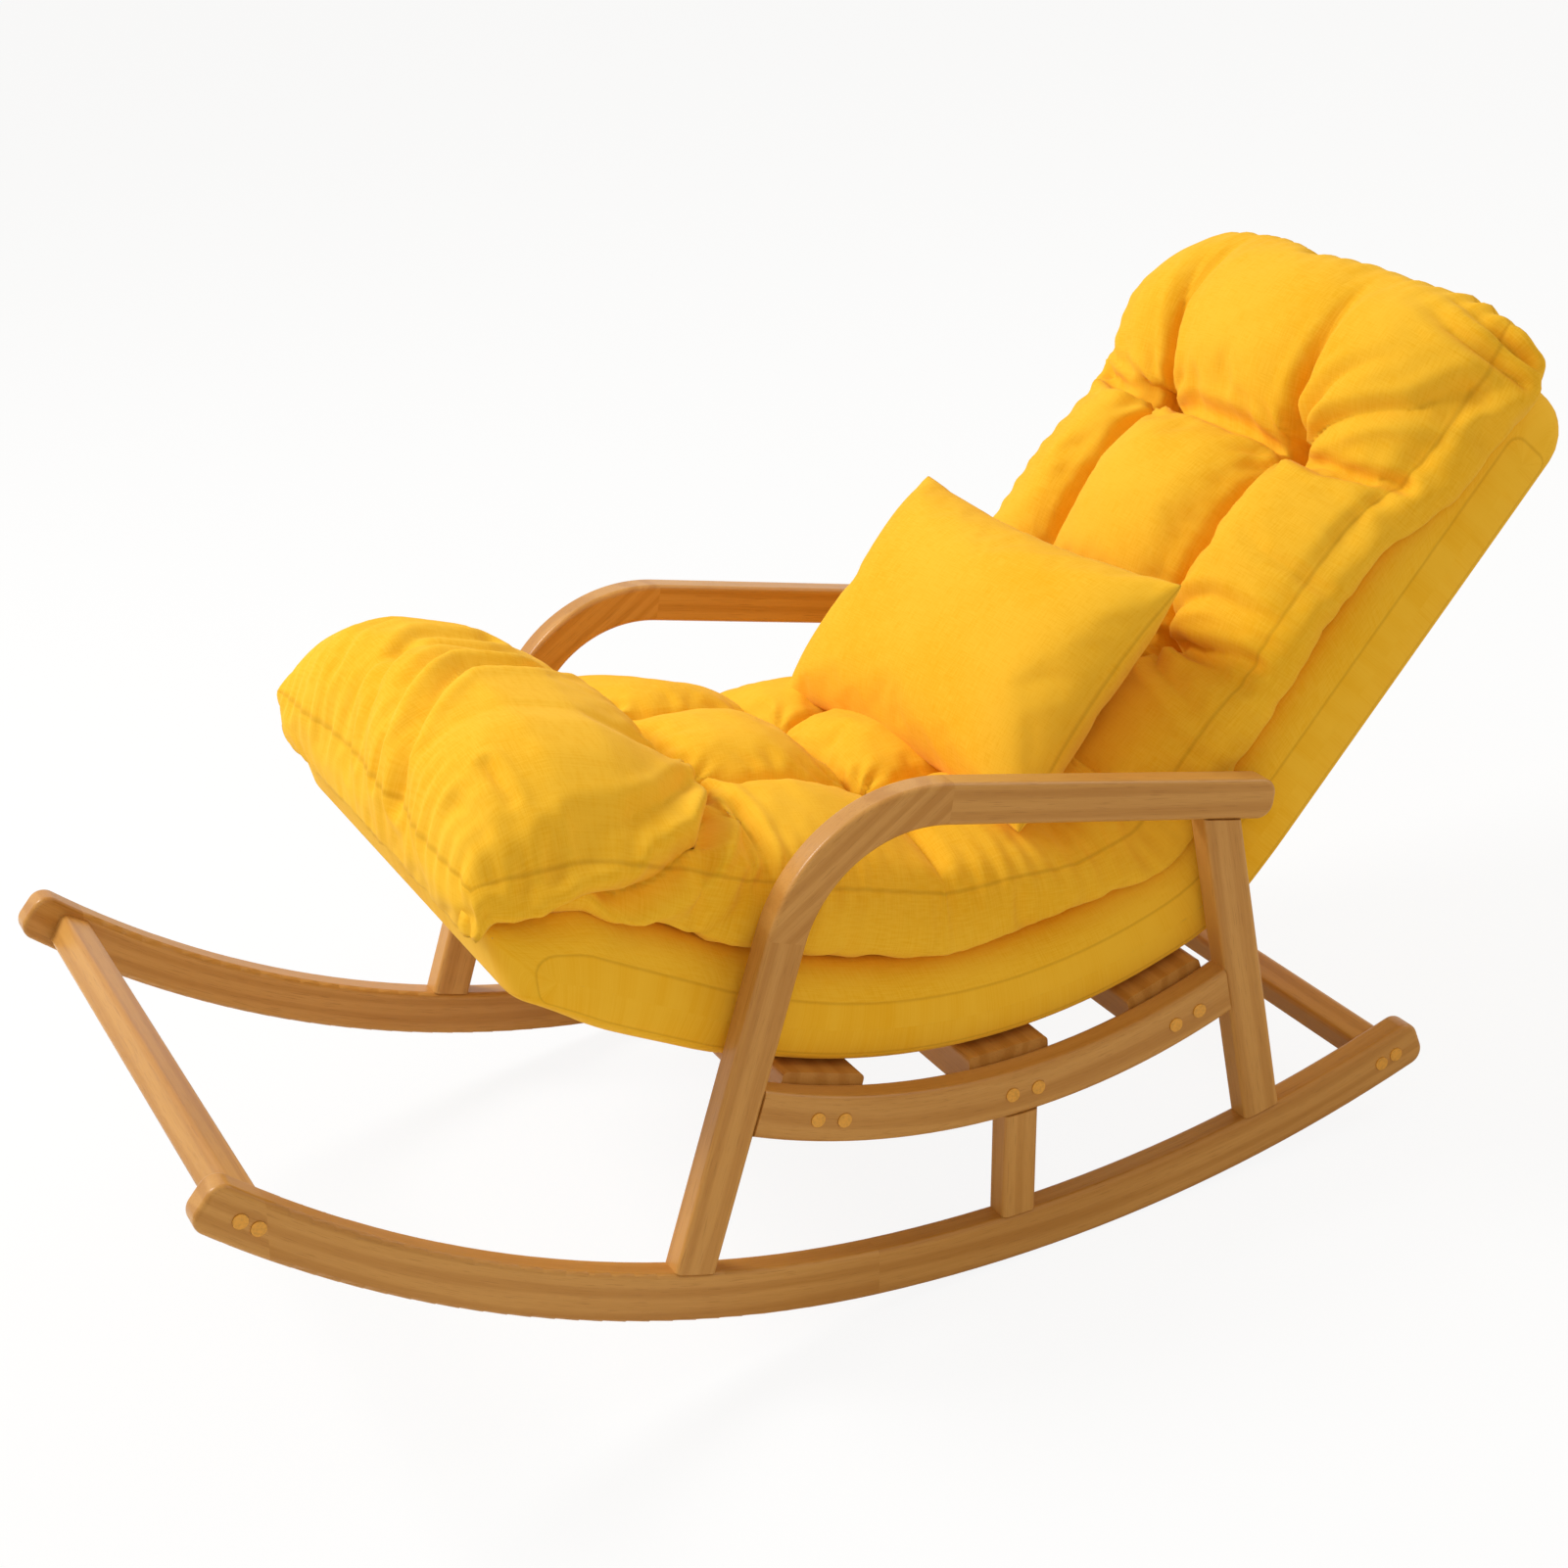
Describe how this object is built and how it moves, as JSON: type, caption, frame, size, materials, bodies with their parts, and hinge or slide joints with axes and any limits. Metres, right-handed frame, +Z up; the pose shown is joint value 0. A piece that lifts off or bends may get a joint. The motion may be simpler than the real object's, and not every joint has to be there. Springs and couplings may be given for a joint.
{
  "type": "rocking chair",
  "caption": "Low rocking chair with long curved wooden rockers, bent armrests, an upholstered seat shell, a thick tufted pad and a loose pillow.",
  "frame": {"origin": "on the floor under the middle of the whole chair, with the chair standing on its rockers as it comes to rest by itself", "axes": "+Z up, -Y the way the sitter faces, +X towards the sitter's left side"},
  "size_m": [0.642, 1.3576, 0.7676],
  "materials": {
    "frame_wood": "satin lacquer",
    "dowel_wood": "plain",
    "inner_wood": "sawn",
    "cap_plastic": "satin",
    "screw_steel": "zinc plated",
    "shell_fabric": "plain weave",
    "pad_fabric": "plain weave",
    "pillow_fabric": "plain weave",
    "foam": "open cell foam",
    "webbing": "woven strap"
  },
  "bodies": {
    "frame": {"rocker_toe_left": "frame_wood", "rocker_front_left": "frame_wood", "rocker_rear_left": "frame_wood", "front_leg_left": "frame_wood", "arm_bend_left": "frame_wood", "armrest_left": "frame_wood", "rear_leg_left": "frame_wood", "side_rail_left": "frame_wood", "middle_post_left": "frame_wood", "plug_caps_left": "cap_plastic", "rail_screws_left": "screw_steel", "dowels_left": "dowel_wood", "rocker_toe_right": "frame_wood", "rocker_front_right": "frame_wood", "rocker_rear_right": "frame_wood", "front_leg_right": "frame_wood", "arm_bend_right": "frame_wood", "armrest_right": "frame_wood", "rear_leg_right": "frame_wood", "side_rail_right": "frame_wood", "middle_post_right": "frame_wood", "plug_caps_right": "cap_plastic", "rail_screws_right": "screw_steel", "dowels_right": "dowel_wood", "front_stretcher": "frame_wood", "rear_stretcher": "frame_wood", "seat_rail_front": "frame_wood", "seat_rail_middle": "frame_wood", "seat_rail_rear": "frame_wood", "shell_screws": "screw_steel", "shell_cover": "shell_fabric", "shell_panel_left": "inner_wood", "shell_panel_right": "inner_wood", "shell_foam": "foam", "shell_crosspieces": "inner_wood", "shell_webbing": "webbing"},
    "pad": {"tufted_pad": "pad_fabric"},
    "pillow": {"pillow": "pillow_fabric"}
  },
  "joints": [
    {"name": "pad_lift", "type": "slide", "parent": "frame", "child": "pad", "axis": [0, -0.1789, 0.9839], "range_m": [0, 0.4]},
    {"name": "pillow_lift", "type": "slide", "parent": "pad", "child": "pillow", "axis": [0, -0.3883, 0.9215], "range_m": [0, 0.4]}
  ]
}
